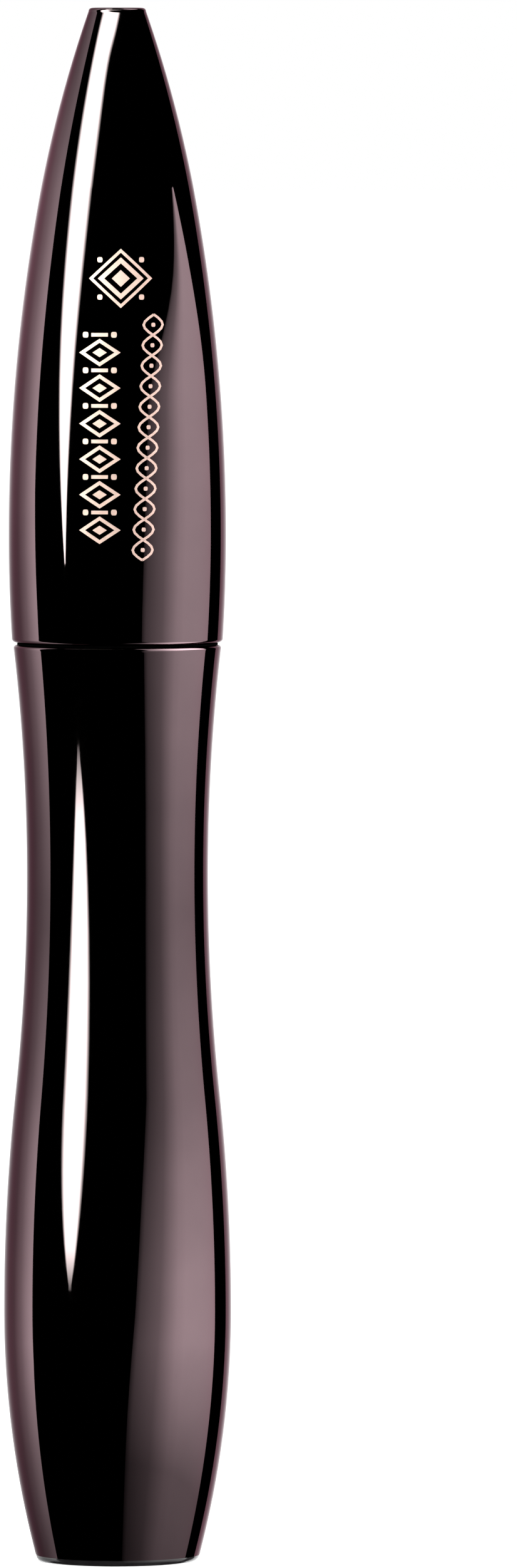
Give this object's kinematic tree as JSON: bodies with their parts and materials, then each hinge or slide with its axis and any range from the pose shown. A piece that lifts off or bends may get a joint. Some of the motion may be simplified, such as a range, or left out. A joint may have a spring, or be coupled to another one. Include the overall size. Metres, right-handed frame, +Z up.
{
  "type": "mascara tube",
  "caption": "Closed mascara tube: bullet-shaped screw cap with stem and moulded brush, on an hourglass bottle with threaded neck, wiper and formula.",
  "frame": {"origin": "centre of the base plane that the tube stands on", "axes": "+Z up along the tube's axis from base to cap tip; -Y is the decorated front"},
  "size_m": [0.019, 0.019, 0.13],
  "materials": {
    "plum_lacquer": "moulded plastic under a mirror-gloss metallised plum lacquer",
    "black_plastic": "gloss black moulded plastic",
    "label_paper": "blank coated paper label",
    "vial_plastic": "semi-gloss moulded plastic",
    "wiper_rubber": "soft satin elastomer",
    "formula_paste": "wet black paste",
    "seal_rubber": "matt foamed gasket",
    "stem_plastic": "polished black moulded rod",
    "brush_elastomer": "satin black moulded elastomer"
  },
  "bodies": {
    "bottle": {"bottle_shell": "plum_lacquer", "base_plug": "black_plastic", "shade_label": "label_paper", "inner_vial": "vial_plastic", "neck_collar": "black_plastic", "wiper": "wiper_rubber", "mascara_formula": "formula_paste"},
    "drawn_seal": {"seal_ring": "seal_rubber"},
    "wand_stem": {"stem": "stem_plastic"},
    "cap": {"cap_shell": "plum_lacquer", "cap_liner": "black_plastic", "brush": "brush_elastomer"}
  },
  "joints": [
    {"name": "wand_draw", "type": "slide", "parent": "bottle", "child": "drawn_seal", "axis": [0, 0, 1], "range_m": [0, 0.08], "deforming": ["wiper"]},
    {"name": "cap_rise", "type": "slide", "parent": "drawn_seal", "child": "wand_stem", "axis": [0, 0, 1], "range_m": [0, 0.00376]},
    {"name": "cap_turn", "type": "hinge", "parent": "wand_stem", "child": "cap", "pos_m": [0, 0, 0.0773], "axis": [0, 0, 1], "range_deg": [0, 540]}
  ],
  "couplings": [
    {"joint": "cap_rise", "follows": "cap_turn", "m_per_rad": 0.00039789}
  ]
}
